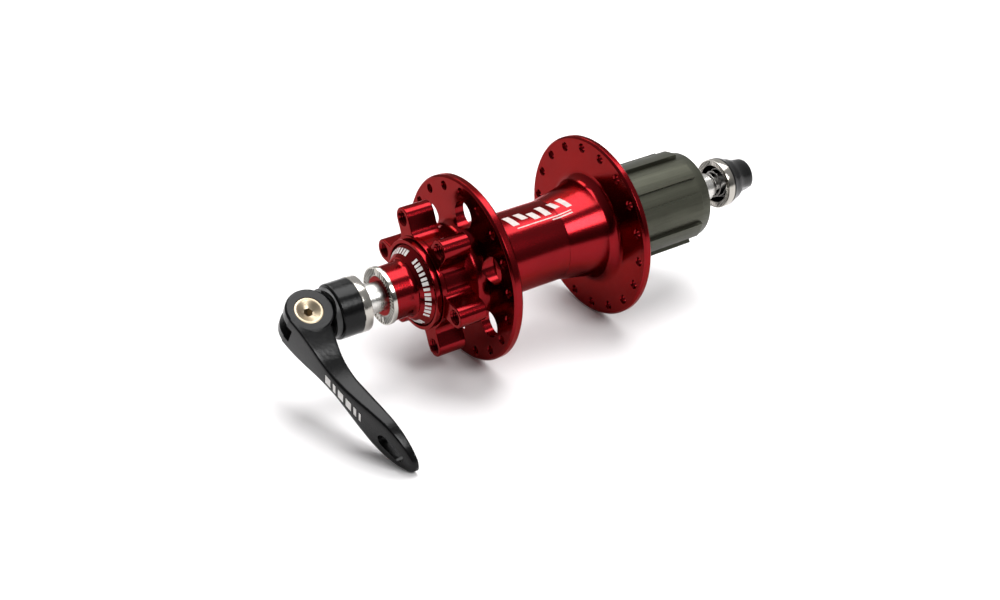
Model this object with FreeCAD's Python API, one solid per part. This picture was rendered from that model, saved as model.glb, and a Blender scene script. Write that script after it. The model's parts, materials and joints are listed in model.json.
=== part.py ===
import FreeCAD, Part
import os
from math import cos, pi, radians, sin, sqrt

# Rear bicycle hub with a quick-release skewer through it.  Millimetres.
# +Y runs along the axle from the cassette side to the brake-disc side, +Z is up, and the
# origin is on the axle axis midway between the two faces that the frame clamps.
# Angles about the axle are measured from +Z towards +X.

# ---- driving dimensions -------------------------------------------------------------------
OVER_LOCKNUTS = 135.0          # frame width that the hub fits
CLAMP_FACE = OVER_LOCKNUTS / 2
FIT = 0.02                     # gap left in a fixed fit
RUN = 0.05                     # radial running clearance

AXLE_R = 7.5                   # middle of the axle, where the bearings sit
AXLE_END_R = 5.0               # ends that the frame's slots take
AXLE_BORE_R = 2.75
AXLE_END = 73.0

FLANGE_R = 32.5
SPOKE_CIRCLE_R = 29.0
SPOKE_HOLE_R = 1.35
SPOKES_A_SIDE = 18
LEFT_SPOKE_ANGLE = 58.1
RIGHT_SPOKE_ANGLE = 88.3
LEFT_FLANGE = (32.26, 35.76)   # inner and outer face
RIGHT_FLANGE = (-17.63, -20.63)
FLANGE_CHAMFER = 0.7

BARREL_R = 14.3
BARREL_BORE_R = 11.2
SHELL_BORE_R = 14.3            # end of the shell, round the left end cap
CONE_START = 0.0               # the barrel widens from here to the right flange
CONE_SLOPE = 0.19              # radius gained per mm
RIGHT_FILLET_R = 4.0
LEFT_INNER_FILLET_R = 3.0
LEFT_OUTER_FILLET_R = 3.6

DISC_FACE = 52.2               # the brake disc bolts on here
DISC_BOLT_CIRCLE_R = 22.0
DISC_BOLTS = 6
DISC_BOLT_ANGLE = 23.64
DISC_TAP_R = 2.1               # M5 tapping size
DISC_TAP_DEPTH = 9.0
ARM_FOOT = 42.0                 # the arms stop here, clear of the flange
BOSS_END_R = 3.8
BOSS_FILLET_R = 3.5
NECK_R = 15.8                  # tube between the left flange and the disc face
SHELL_LIP = 54.6
LIGHTENING_CIRCLE_R = 21.5
LIGHTENING_HOLE_R = 4.8

RATCHET_TEETH = 24
RATCHET_TIP_R = 14.2
RATCHET_ROOT_R = 15.1
RATCHET_R = 15.9
RATCHET = (-20.5, -14.1)
PAWLS = 3
PAWL_SPAN = (-20.0, -14.4)
PAWL_PIVOT_R = 11.9
PAWL_HEEL_R = 1.4
PAWL_TIP_ANGLE = 26.0
PAWL_TIP_R = 14.85             # when it stands in the ratchet
PAWL_PRESSED = 9.0             # degrees it is drawn pressed in, clear of the teeth
PAWL_BACKLASH = 2.2            # degrees from the engaged tip to the face that it drives
PAWL_SPRING = (-17.5, -16.9)

FREEHUB_R = 17.45              # outside of the splines
FREEHUB_ROOT_R = 15.85
FREEHUB_SPAN = (-61.5, -22.4)
SPLINE_END = -57.0               # the body runs on from here as a plain nose
NOSE_R = 15.75
SPLINES = 9
SPLINE_GROOVE = 5.8
SPLINE_ANGLE = 29.0
LOCKRING_BORE_R = 14.8         # M30.6 x 1 thread, minor radius
SPIGOT_R = 13.4
SPIGOT_BORE_R = 9.6

SKEWER_R = 2.45                # M5 rod
LEVER_PIVOT = 94.5
LEVER_TILT = 59.0              # angle of the lever's pin above -X, about the axle
LEVER_PIN_R = 4.0
LEVER_PIN_HEAD_R = 4.75
HEAD_HALF = 6.6                # half the width of the lever's forked head
HEAD_SLOT_HALF = 3.1
CAM_R = 8.45                   # pin centre to the cam's high point
CAM_THROW = 1.0                # over half a turn
SLOT_START = 47.5              # the window in the paddle: centres of its round ends
SLOT_END = 53.0
SLOT_HALF = 2.5
TROUGH_R = 10.5
NUT_FACE = -76.3
NUT_TIP = -91.0
CLAMP_RING_R = 9.5
CUP_R = 9.4
SADDLE_R = 8.5
NUT_RING_R = 9.2
SPRING_WIRE_R = 0.35
SPRING_NARROW_R = 3.6
SPRING_WIDE_R = 6.1
SPRING_LENGTH = 7.73
SPRING_TURNS = 4

# bearings: (low y, outer radius, width, ball radius, number of balls)
BEARINGS = {
    "left_bearing": (45.5, 14.0, 7.0, 2.2, 10),
    "right_bearing": (-12.6, 12.0, 5.0, 1.5, 14),
    "freehub_inner_bearing": (-32.0, 14.0, 7.0, 2.2, 10),
    "freehub_outer_bearing": (-53.0, 14.0, 7.0, 2.2, 10),
}

ORIGIN = FreeCAD.Vector(0, 0, 0)
AXLE = FreeCAD.Vector(0, 1, 0)


# ---- shapes -------------------------------------------------------------------------------
def vec(x, y, z=0.0):
    return FreeCAD.Vector(x, y, z)


def polar(radius, angle, y=0.0):
    """The point at a radius and an angle about the axle."""
    return vec(radius * sin(radians(angle)), y, radius * cos(radians(angle)))


def outline(loop):
    """A closed wire in the XY plane.  (x, y) is a straight run to that point, and
    (x, y, cx, cy) is the short arc to it about the centre (cx, cy)."""
    edges = []
    start = vec(loop[-1][0], loop[-1][1])
    for entry in loop:
        end = vec(entry[0], entry[1])
        if len(entry) == 4:
            centre = vec(entry[2], entry[3])
            middle = (start + end) * 0.5 - centre
            middle.normalize()
            through = centre + middle * (end - centre).Length
            edges.append(Part.Arc(start, through, end).toShape())
        else:
            edges.append(Part.LineSegment(start, end).toShape())
        start = end
    return Part.Wire(edges)


def turned(*loop):
    """A solid turned about the axle from a loop of (radius, y) entries, as in outline."""
    return Part.Face(outline(loop)).revolve(ORIGIN, AXLE, 360)


def rod(radius, low, high, x=0.0, z=0.0):
    return Part.makeCylinder(radius, high - low, vec(x, low, z), AXLE)


def tube(outer, inner, low, high):
    return rod(outer, low, high).cut(rod(inner, low - 1, high + 1))


def turn(shape, angle):
    """A copy of the shape turned about the axle."""
    copy = shape.copy()
    copy.rotate(ORIGIN, AXLE, angle)
    return copy


def plate(wire, low, high):
    """An outline in the XY plane stood up along the axle: its X is across the axle and
    its Y is outwards along +Z."""
    face = Part.Face(wire)
    face.rotate(ORIGIN, vec(1, 0, 0), 90)
    face.translate(vec(0, low, 0))
    return face.extrude(vec(0, high - low, 0))


def rim_holes(radius, circle_r, count, angle, low, high):
    pitch = 360.0 / count
    holes = []
    for k in range(count):
        centre = polar(circle_r, angle + k * pitch)
        holes.append(rod(radius, low, high, centre.x, centre.z))
    return Part.makeCompound(holes)


# ---- hub shell ----------------------------------------------------------------------------
def boss_arm():
    """One arm that carries a disc bolt: parallel sides, a round end, and a hollow fillet
    down to the neck on each side."""
    side = BOSS_END_R
    reach = NECK_R + BOSS_FILLET_R
    fillet_x = side + BOSS_FILLET_R
    fillet_y = sqrt(reach ** 2 - fillet_x ** 2)
    foot_x = fillet_x * NECK_R / reach
    foot_y = fillet_y * NECK_R / reach
    inside = (SHELL_BORE_R + 0.15) / foot_y     # the arm ends inside the neck's wall
    end = DISC_BOLT_CIRCLE_R
    wire = outline([
        (-foot_x * inside, foot_y * inside),
        (-foot_x, foot_y),
        (-side, fillet_y, -fillet_x, fillet_y),
        (-side, end),
        (0.0, end + BOSS_END_R, 0.0, end),
        (side, end, 0.0, end),
        (side, fillet_y),
        (foot_x, foot_y, fillet_x, fillet_y),
        (foot_x * inside, foot_y * inside),
    ])
    return wire


def hub_shell():
    flange_in, flange_out = LEFT_FLANGE
    right_in, right_out = RIGHT_FLANGE
    # the widening barrel meets the right flange in a fillet that is tangent to both
    along = sqrt(1 + CONE_SLOPE ** 2)
    centre_y = right_in + RIGHT_FILLET_R
    centre_r = BARREL_R + RIGHT_FILLET_R * along + CONE_SLOPE * (CONE_START - centre_y)
    cone_end_r = centre_r - RIGHT_FILLET_R / along
    cone_end_y = centre_y - RIGHT_FILLET_R * CONE_SLOPE / along
    left_low, left_r, left_width = BEARINGS["left_bearing"][:3]
    right_low, right_r, right_width = BEARINGS["right_bearing"][:3]
    body = turned(
        (SHELL_BORE_R, SHELL_LIP),
        (15.0, SHELL_LIP),
        (15.5, SHELL_LIP - 0.5, 15.0, SHELL_LIP - 0.5),
        (15.5, 53.1),
        (15.0, 53.1),
        (15.0, 52.6),
        (15.9, 52.6),
        (16.2, 52.3),
        (16.2, 50.9),
        (NECK_R, 50.5),
        (NECK_R, flange_out + LEFT_OUTER_FILLET_R),
        (NECK_R + LEFT_OUTER_FILLET_R, flange_out,
         NECK_R + LEFT_OUTER_FILLET_R, flange_out + LEFT_OUTER_FILLET_R),
        (FLANGE_R - FLANGE_CHAMFER, flange_out),
        (FLANGE_R, flange_out - FLANGE_CHAMFER),
        (FLANGE_R, flange_in + FLANGE_CHAMFER),
        (FLANGE_R - FLANGE_CHAMFER, flange_in),
        (BARREL_R + LEFT_INNER_FILLET_R, flange_in),
        (BARREL_R, flange_in - LEFT_INNER_FILLET_R,
         BARREL_R + LEFT_INNER_FILLET_R, flange_in - LEFT_INNER_FILLET_R),
        (BARREL_R, CONE_START),
        (cone_end_r, cone_end_y),
        (centre_r, right_in, centre_r, centre_y),
        (FLANGE_R - FLANGE_CHAMFER, right_in),
        (FLANGE_R, right_in - FLANGE_CHAMFER),
        (FLANGE_R, right_out + FLANGE_CHAMFER),
        (FLANGE_R - FLANGE_CHAMFER, right_out),
        (RATCHET_R, right_out),
        (RATCHET_R, RATCHET[1]),
        (SPIGOT_R + 0.6, RATCHET[1]),
        (SPIGOT_R + 0.6, right_low),
        (right_r, right_low),
        (right_r, right_low + right_width),
        (BARREL_BORE_R, right_low + right_width),
        (BARREL_BORE_R, left_low),
        (left_r, left_low),
        (left_r, left_low + left_width),
        (SHELL_BORE_R, left_low + left_width),
    )
    arm = plate(boss_arm(), ARM_FOOT, DISC_FACE)
    pitch = 360.0 / DISC_BOLTS
    for k in range(DISC_BOLTS):
        body = body.fuse(turn(arm, DISC_BOLT_ANGLE + k * pitch))
    body = body.removeSplitter()
    body = body.cut(rim_holes(
        DISC_TAP_R, DISC_BOLT_CIRCLE_R, DISC_BOLTS, DISC_BOLT_ANGLE,
        DISC_FACE - DISC_TAP_DEPTH, DISC_FACE + 1))
    body = body.cut(rim_holes(
        LIGHTENING_HOLE_R, LIGHTENING_CIRCLE_R, DISC_BOLTS, DISC_BOLT_ANGLE + pitch / 2,
        flange_in - 1, flange_out + 4))
    body = body.cut(rim_holes(
        SPOKE_HOLE_R, SPOKE_CIRCLE_R, SPOKES_A_SIDE, LEFT_SPOKE_ANGLE,
        flange_in - 1, flange_out + 1))
    body = body.cut(rim_holes(
        SPOKE_HOLE_R, SPOKE_CIRCLE_R, SPOKES_A_SIDE, RIGHT_SPOKE_ANGLE,
        right_out - 1, right_in + 1))
    return body


# ---- ratchet ------------------------------------------------------------------------------
def ratchet_ring():
    """Saw teeth inside a ring: each one rises from tip to root over its pitch and drops
    back in one radial face, which the pawls push on."""
    pitch = 360.0 / RATCHET_TEETH
    drive = PAWL_TIP_ANGLE + PAWL_BACKLASH
    points = []
    for k in range(RATCHET_TEETH):
        face = drive + k * pitch
        points.append(polar(RATCHET_TIP_R, face, RATCHET[0] - 1))
        points.append(polar(RATCHET_ROOT_R, face + pitch, RATCHET[0] - 1))
    hollow = Part.Face(Part.makePolygon(points + points[:1]))
    hollow = hollow.extrude(vec(0, RATCHET[1] - RATCHET[0] + 2, 0))
    return rod(RATCHET_R - FIT, RATCHET[0], RATCHET[1] - FIT).cut(hollow)


def pawl():
    """A pawl that points forwards, with a round heel and a slot for the wire spring,
    pressed in about its heel."""
    tip = PAWL_TIP_ANGLE
    top = (PAWL_TIP_R * sin(radians(tip)), PAWL_TIP_R * cos(radians(tip)))
    low_r = PAWL_TIP_R - 1.45
    bottom = (low_r * sin(radians(tip)), low_r * cos(radians(tip)))
    wire = outline([
        (-0.5, PAWL_PIVOT_R + 1.25),
        (0.9, PAWL_PIVOT_R - 1.05),
        bottom,
        top,
        (2.9, 13.6),
    ])
    low, high = PAWL_SPAN
    body = plate(wire, low, high).fuse(rod(PAWL_HEEL_R, low, high, 0, PAWL_PIVOT_R))
    slot = tube(FREEHUB_R, 11.7, PAWL_SPRING[0] - 0.25, PAWL_SPRING[1] + 0.25)
    body = body.removeSplitter().cut(slot)
    body.rotate(vec(0, 0, PAWL_PIVOT_R), AXLE, PAWL_PRESSED)
    return body


def pawl_pocket():
    low, high = PAWL_SPAN
    side = 0.15
    wire = outline([
        (-0.3, 10.5), (6.7, 10.0), (7.3, 14.5), (-0.9, 14.5), (-0.95, 12.9),
    ])
    heel = rod(PAWL_HEEL_R + RUN, low - side, high + side, 0, PAWL_PIVOT_R)
    return plate(wire, low - side, high + side).fuse(heel)


def pawl_spring():
    ring = tube(13.1, 12.5, *PAWL_SPRING)
    gap = plate(outline([(-0.8, 10), (0.8, 10), (0.8, 15), (-0.8, 15)]), -18, -16)
    return ring.cut(turn(gap, -50))


# ---- freehub ------------------------------------------------------------------------------
def freehub_body():
    end, shoulder = FREEHUB_SPAN
    inner_low, seat_r, width = BEARINGS["freehub_inner_bearing"][:3]
    outer_low = BEARINGS["freehub_outer_bearing"][0]
    body = turned(
        (SPIGOT_BORE_R, -13.2),
        (SPIGOT_R - 0.4, -13.2),
        (SPIGOT_R, -13.6),
        (SPIGOT_R, shoulder),
        (FREEHUB_R, shoulder),
        (FREEHUB_R, SPLINE_END + 0.4),
        (FREEHUB_R - 0.4, SPLINE_END),
        (NOSE_R, SPLINE_END),
        (NOSE_R, end + 0.3),
        (NOSE_R - 0.3, end),
        (LOCKRING_BORE_R + 0.4, end),
        (LOCKRING_BORE_R, end + 0.4),
        (LOCKRING_BORE_R, -55.2),
        (seat_r, -55.2),
        (seat_r, outer_low - 1.3),
        (seat_r + 0.6, outer_low - 1.3),
        (seat_r + 0.6, outer_low),
        (seat_r, outer_low),
        (seat_r, inner_low + width),
        (SPIGOT_BORE_R, inner_low + width),
    )
    half = SPLINE_GROOVE / 2
    groove = plate(outline([
        (-half, FREEHUB_ROOT_R), (half, FREEHUB_ROOT_R),
        (half + 0.3, FREEHUB_R + 1), (-half - 0.3, FREEHUB_R + 1),
    ]), end - 1, shoulder - 2.2)
    body = body.cut(Part.makeCompound(
        [turn(groove, SPLINE_ANGLE + k * 360.0 / SPLINES) for k in range(SPLINES)]))
    body = body.cut(Part.makeCompound(
        [turn(pawl_pocket(), k * 360.0 / PAWLS) for k in range(PAWLS)]))
    return body.cut(tube(SPIGOT_R + 1, 12.3, PAWL_SPRING[0] - 0.1, PAWL_SPRING[1] + 0.1))


def freehub_circlip():
    low = BEARINGS["freehub_outer_bearing"][0] - 1.25
    ring = tube(14.5, 12.9, low, low + 1.15)
    gap = plate(outline([(-2.2, 10), (2.2, 10), (2.2, 16), (-2.2, 16)]), low - 1, low + 3)
    ears = [rod(1.1, low, low + 1.15, side * 3.2, 12.6).cut(
        rod(0.5, low - 1, low + 3, side * 3.2, 12.4)) for side in (-1, 1)]
    return ring.cut(gap).fuse(ears).removeSplitter()


# ---- bearings -----------------------------------------------------------------------------
def bearing(name):
    """A sealed ball bearing on the axle as four nodes: the two grooved rings, the balls in
    their cage, and the two seals, which are held by the outer ring."""
    low, outer_r, width, ball_r, count = BEARINGS[name]
    middle = low + width / 2
    pitch_r = (AXLE_R + outer_r) / 2
    land = ball_r * 0.5
    groove = Part.makeTorus(pitch_r, ball_r + 0.04, vec(0, middle, 0), AXLE)
    inner = tube(pitch_r - land, AXLE_R + FIT, low, low + width).cut(groove)
    outer = tube(outer_r - FIT, pitch_r + land, low + FIT, low + width - FIT).cut(groove)
    cage_half = ball_r + 0.3
    cage = tube(pitch_r + 0.5, pitch_r - 0.5, middle - cage_half, middle + cage_half)
    balls = []
    for k in range(count):
        centre = polar(pitch_r, k * 360.0 / count, middle)
        balls.append(Part.makeSphere(ball_r, centre))
        cage = cage.cut(Part.makeCylinder(ball_r + 0.08, outer_r, vec(0, middle, 0), centre
                                          - vec(0, middle, 0)))
    thick = 0.5
    seal_low = low + 0.15
    seals = [tube(pitch_r + land - FIT, pitch_r - land + RUN, y, y + thick)
             for y in (seal_low, low + width - 0.15 - thick)]
    return {
        name + "_inner_race": inner,
        name + "_outer_race": outer,
        name + "_balls": Part.makeCompound(balls + [cage]),
        name + "_seals": Part.makeCompound(seals),
    }


# ---- axle group ---------------------------------------------------------------------------
def axle():
    left = BEARINGS["left_bearing"][0] + BEARINGS["left_bearing"][2]
    right = BEARINGS["freehub_outer_bearing"][0]
    edge = 0.4
    return turned(
        (AXLE_BORE_R, AXLE_END),
        (AXLE_END_R - edge, AXLE_END),
        (AXLE_END_R, AXLE_END - edge),
        (AXLE_END_R, left),
        (AXLE_R, left),
        (AXLE_R, right),
        (AXLE_END_R, right),
        (AXLE_END_R, -AXLE_END + edge),
        (AXLE_END_R - edge, -AXLE_END),
        (AXLE_BORE_R, -AXLE_END),
    )


def left_end_cap():
    """The cap that closes the left bearing and stands out to the frame."""
    seat = BEARINGS["left_bearing"][0] + BEARINGS["left_bearing"][2]
    bore = AXLE_END_R + FIT
    return turned(
        (bore, seat),
        (9.2, seat),
        (9.2, seat + 0.7),
        (13.9, seat + 0.7),
        (13.9, 54.3),
        (10.4, 57.9),
        (9.35, 59.6, 12.35, 59.6),
        (9.35, CLAMP_FACE - 1.5),
        (6.8, CLAMP_FACE - 1.5),
        (6.8, CLAMP_FACE - 0.3),
        (bore, CLAMP_FACE - 0.3),
    )


def right_end_cap():
    seat = BEARINGS["freehub_outer_bearing"][0]
    bore = AXLE_END_R + FIT
    return turned(
        (bore, seat),
        (9.2, seat),
        (9.2, seat - 1.6),
        (8.0, seat - 2.8),
        (8.0, -CLAMP_FACE + 1.5),
        (6.0, -CLAMP_FACE + 1.5),
        (6.0, -CLAMP_FACE + 0.3),
        (bore, -CLAMP_FACE + 0.3),
    )


def lock_ring(outer, inner, side):
    """A hard steel ring pressed on the cap: the frame is clamped on its face."""
    face = side * CLAMP_FACE
    back = side * (CLAMP_FACE - 1.5)
    return turned(
        (inner + FIT, back),
        (outer, back),
        (outer, face - side * 0.25),
        (outer - 0.25, face),
        (inner + FIT, face),
    )


# ---- quick-release skewer -----------------------------------------------------------------
def lever_frame(shape):
    """Moves a shape drawn about the lever's pin into place: its X runs down the lever,
    its Y along the axle, and its Z along the pin, away from the pin's head."""
    tilt = radians(LEVER_TILT)
    down = (-sin(tilt), 0.0, -cos(tilt))
    pin = (cos(tilt), 0.0, -sin(tilt))
    matrix = FreeCAD.Matrix(
        down[0], 0.0, pin[0], 0.0,
        down[1], 1.0, pin[1], LEVER_PIVOT,
        down[2], 0.0, pin[2], 0.0,
        0.0, 0.0, 0.0, 1.0)
    placed = shape.copy()
    placed.transformShape(matrix)
    return placed


def along_z(wire, half):
    face = Part.Face(wire)
    face.translate(vec(0, 0, -half))
    return face.extrude(vec(0, 0, 2 * half))


def cam_outline():
    """The head's edge: the distance from the pin falls evenly from CAM_R, on the side
    that faces the hub when the lever is closed, by CAM_THROW over half a turn."""
    steps = 18
    halves = []
    for side in (1, -1):
        points = []
        for k in range(steps + 1):
            angle = pi * k / steps
            radius = CAM_R - CAM_THROW * k / steps
            points.append(vec(side * radius * sin(angle), -radius * cos(angle)))
        curve = Part.BSplineCurve()
        curve.interpolate(points)
        halves.append(curve.toShape())
    return Part.Wire([halves[0], halves[1]])


def spline_edge(points):
    curve = Part.BSplineCurve()
    curve.interpolate([vec(x, y) for x, y in points])
    return curve.toShape()


def lever():
    """A forked head with a cam edge, and a blade that necks in, spreads to a paddle and
    curves towards the wheel."""
    back = spline_edge([(2.0, 7.35), (8.0, 6.05), (33.7, 0.1), (59.9, -7.8)])
    tip = Part.LineSegment(vec(59.9, -7.8), vec(59.9, -9.9)).toShape()
    front = spline_edge([(59.9, -9.9), (33.2, -5.8), (17.8, -3.7), (7.0, -4.4)])
    root = Part.makePolygon([vec(7.0, -4.4), vec(2.0, -4.4), vec(2.0, 7.35)])
    blade = along_z(Part.Wire([back, tip, front] + root.Edges), 8.0)
    side = [(6.0, HEAD_HALF), (12.0, 5.4), (18.0, 4.0), (25.0, 3.6), (32.0, 4.8),
            (39.0, 6.2), (45.0, 7.0), (51.0, 6.2), (56.0, 4.1), (59.0, 1.9), (59.9, 0.0)]
    near = spline_edge(side)
    far = spline_edge([(x, -y) for x, y in reversed(side)])
    heel = Part.makePolygon([
        vec(6.0, -HEAD_HALF), vec(-9.0, -HEAD_HALF), vec(-9.0, HEAD_HALF),
        vec(6.0, HEAD_HALF)])
    plan = Part.Face(Part.Wire([near, far] + heel.Edges))
    plan.rotate(ORIGIN, vec(1, 0, 0), 90)
    plan.translate(vec(0, -12, 0))
    plan = plan.extrude(vec(0, 24, 0))
    body = blade.fuse(along_z(cam_outline(), HEAD_HALF)).common(plan)
    fork = Part.makeBox(14.0, 20.0, 2 * HEAD_SLOT_HALF, vec(-10.4, -10.0, -HEAD_SLOT_HALF))
    body = body.cut(fork)
    body = body.cut(Part.makeCylinder(LEVER_PIN_R + RUN, 20, vec(0, 0, -10)))
    body = body.cut(Part.makeCylinder(
        LEVER_PIN_HEAD_R + RUN, 2, vec(0, 0, -HEAD_HALF - 2 + 1.3)))
    window = outline([
        (SLOT_END, -SLOT_HALF),
        (SLOT_END + SLOT_HALF, 0.0, SLOT_END, 0.0),
        (SLOT_END, SLOT_HALF, SLOT_END, 0.0),
        (SLOT_START, SLOT_HALF),
        (SLOT_START - SLOT_HALF, 0.0, SLOT_START, 0.0),
        (SLOT_START, -SLOT_HALF, SLOT_START, 0.0),
    ])
    window = Part.Face(window)
    window.rotate(ORIGIN, vec(1, 0, 0), 90)
    window.translate(vec(0, -20, 0))
    return body.cut(window.extrude(vec(0, 30, 0)))


def lever_pin():
    """The cross barrel that the rod screws into, with a hollow head and a hex socket."""
    head_z = -HEAD_HALF + 0.1
    pin = Part.makeCylinder(LEVER_PIN_R, 2 * HEAD_HALF - 0.3, vec(0, 0, head_z))
    pin = pin.fuse(Part.makeCylinder(LEVER_PIN_HEAD_R, 1.1, vec(0, 0, head_z)))
    pin = pin.removeSplitter()
    pin = pin.cut(Part.makeCone(3.4, 1.6, 1.8, vec(0, 0, head_z)))
    hexagon = [vec(1.6 * cos(radians(60 * k)), 1.6 * sin(radians(60 * k)), head_z)
               for k in range(6)]
    socket = Part.Face(Part.makePolygon(hexagon + hexagon[:1])).extrude(vec(0, 0, 3.4))
    pin = lever_frame(pin.cut(socket))
    return pin.cut(rod(SKEWER_R + FIT, LEVER_PIVOT - 6, LEVER_PIVOT - 1.4))


def cam_saddle():
    """The washer between cup and lever, with a trough for the cam."""
    bottom = LEVER_PIVOT - CAM_R - RUN
    body = rod(SADDLE_R, 85.45, 87.4).fuse(rod(7.55, 83.65, 85.45)).removeSplitter()
    body = body.cut(rod(SKEWER_R + 0.15, 80, 90))
    trough = Part.makeCylinder(TROUGH_R, 40, vec(0, 0, -20))
    trough.translate(vec(0, bottom + TROUGH_R - LEVER_PIVOT, 0))
    return body.cut(lever_frame(trough))


def clamp_cup():
    return turned(
        (SKEWER_R + 0.15, 81.6),
        (7.0, 81.6),
        (7.0, 75.3),
        (8.18, 75.3),
        (8.18, 77.72),
        (CUP_R, 77.72),
        (CUP_R, 84.7),
        (CUP_R - 0.7, 85.4, CUP_R - 0.7, 84.7),
        (7.6, 85.4),
        (7.6, 83.6),
        (SKEWER_R + 0.15, 83.6),
    )


def clamp_ring(outer, inner, face, depth, side):
    """The toothed steel ring that bites on the frame, with a lip over its holder."""
    back = face + side * depth
    step = face + side * 0.6
    return turned(
        (7.0, face),
        (outer - 0.25, face),
        (outer, face + side * 0.25),
        (outer, back),
        (inner, back),
        (inner, step),
        (7.0, step),
    )


def nut_body():
    body = turned(
        (2.5, -81.5),
        (7.0, -81.5),
        (7.0, NUT_FACE - 0.62),
        (7.98, NUT_FACE - 0.62),
        (7.98, -79.3),
        (NUT_RING_R, -79.3),
        (NUT_RING_R, -79.9),
        (6.2, -90.0),
        (5.2, NUT_TIP, 5.2, -89.9),
        (2.5, NUT_TIP),
        (2.5, -88.0),
        (3.6, -88.0),
        (3.6, -85.5),
        (2.5, -85.5),
    )
    for side in (45, 225):
        flat = Part.makeBox(20, 20, 10, vec(-10, -104.0, 5.6))
        body = body.cut(turn(flat, side))
    return body


def cone_spring(side):
    """A conical spring beyond one end of the axle, drawn as its turns: closed rings of
    wire, a little apart, that widen away from the axle's end."""
    first = AXLE_END + SPRING_WIRE_R + FIT
    turns = []
    for k in range(SPRING_TURNS + 1):
        share = k / SPRING_TURNS
        radius = SPRING_NARROW_R + (SPRING_WIDE_R - SPRING_NARROW_R) * share
        centre = vec(0, side * (first + SPRING_LENGTH * share))
        turns.append(Part.makeTorus(radius, SPRING_WIRE_R, centre, AXLE))
    return Part.makeCompound(turns)


# ---- all nodes ----------------------------------------------------------------------------
def nodes():
    made = {
        "axle": axle(),
        "left_end_cap": left_end_cap(),
        "left_lock_ring": lock_ring(9.95, 6.8, 1),
        "right_end_cap": right_end_cap(),
        "right_lock_ring": lock_ring(8.0, 6.0, -1),
        "shell_bearing_spacer": tube(8.8, AXLE_R + FIT, -7.6 + FIT, 45.5 - FIT),
        "ratchet_spacer": tube(8.9, AXLE_R + FIT, -25.0 + FIT, -12.6 - FIT),
        "freehub_bearing_spacer": tube(8.9, AXLE_R + FIT, -46.0 + FIT, -32.0 - FIT),
        "hub_shell": hub_shell(),
        "ratchet_ring": ratchet_ring(),
        "freehub_body": freehub_body(),
        "freehub_outer_spacer": tube(13.98, 12.4, -46.0 + FIT, -32.0 - FIT),
        "freehub_circlip": freehub_circlip(),
        "freehub_seal": tube(16.9, SPIGOT_R + FIT, -22.38, -20.75),
        "pawl_spring": pawl_spring(),
        "skewer_rod": rod(SKEWER_R, -88.5, LEVER_PIVOT - 1.5),
        "lever_pin": lever_pin(),
        "cam_lever": lever_frame(lever()),
        "cam_saddle": cam_saddle(),
        "clamp_cup": clamp_cup(),
        "clamp_ring": clamp_ring(CLAMP_RING_R, 8.2, 74.66, 3.04, 1),
        "lever_side_spring": cone_spring(1),
        "nut_body": nut_body(),
        "nut_ring": clamp_ring(NUT_RING_R, 8.0, NUT_FACE, 2.98, -1),
        "nut_locking_insert": tube(3.58, 2.5, -87.98, -85.52),
        "nut_side_spring": cone_spring(-1),
    }
    for k in range(PAWLS):
        made["pawl_%d" % (k + 1)] = turn(pawl(), k * 360.0 / PAWLS)
    for name in BEARINGS:
        made.update(bearing(name))
    return made


def main():
    os.makedirs("parts", exist_ok=True)
    for name, shape in nodes().items():
        shape.exportStep("parts/%s.step" % name)


main()
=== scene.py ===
"""Looks of a rear bicycle hub with a quick-release skewer.

Every piece is a surface worked out in millimetres in the part's own frame: +Y runs along
the axle towards the brake disc, +Z is up, and angles about the axle go from +Z towards +X.
The mesh is put into Blender in metres, at the origin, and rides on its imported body.
"""

import json

import bmesh
import bpy
import numpy as np
from mathutils import Matrix, Vector


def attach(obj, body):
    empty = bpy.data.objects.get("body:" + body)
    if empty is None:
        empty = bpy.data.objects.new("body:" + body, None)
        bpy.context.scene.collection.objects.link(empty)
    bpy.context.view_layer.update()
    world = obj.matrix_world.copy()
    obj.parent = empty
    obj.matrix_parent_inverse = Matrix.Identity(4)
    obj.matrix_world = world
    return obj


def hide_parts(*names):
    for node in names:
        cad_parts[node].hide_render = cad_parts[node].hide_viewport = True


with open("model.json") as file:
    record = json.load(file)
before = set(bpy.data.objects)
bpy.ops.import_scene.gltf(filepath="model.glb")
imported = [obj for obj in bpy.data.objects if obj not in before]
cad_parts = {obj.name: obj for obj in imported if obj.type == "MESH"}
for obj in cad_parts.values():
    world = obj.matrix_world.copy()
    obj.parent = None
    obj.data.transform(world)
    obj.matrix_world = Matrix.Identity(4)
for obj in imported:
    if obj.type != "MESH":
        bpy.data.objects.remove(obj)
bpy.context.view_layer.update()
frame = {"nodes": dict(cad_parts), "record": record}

MM = 0.001
TURN = 2.0 * np.pi

# ---- sizes of the hub, in millimetres -------------------------------------------------------
AROUND = 288                   # samples round a turned piece
EDGE = 0.14                    # broken edge on turned metal
CLAMP_FACE = 67.5
FLANGE_R = 32.5
SPOKE_CIRCLE_R = 29.0
SPOKE_HOLE_R = 1.35
SPOKES_A_SIDE = 18
LEFT_FLANGE = (32.26, 35.76)
RIGHT_FLANGE = (-17.63, -20.63)
BARREL_R = 14.3
CONE_SLOPE = 0.19
NECK_R = 15.8
DISC_FACE = 52.2
ARM_FOOT = 42.0
TAP_DEPTH = 9.0
BOLT_CIRCLE_R = 22.0
BOSS_R = 3.8
BOSS_FILLET_R = 3.5
BOSS_ANGLE = 23.64
BOSSES = 6
LIGHTENING_CIRCLE_R = 21.5
LIGHTENING_R = 4.8
FREEHUB_R = 17.45
FREEHUB_ROOT_R = 15.85
SPLINES = 9
SPLINE_GROOVE = 5.8
SPLINE_ANGLE = 29.0
SPLINE_END = -57.0
NOSE_R = 15.75
FREEHUB_END = -61.5
LEVER_PIVOT = 94.5
LEVER_TILT = np.radians(59.0)
HEAD_HALF = 6.6
SLOT_HALF = 3.1
PIN_R = 4.0
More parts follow.
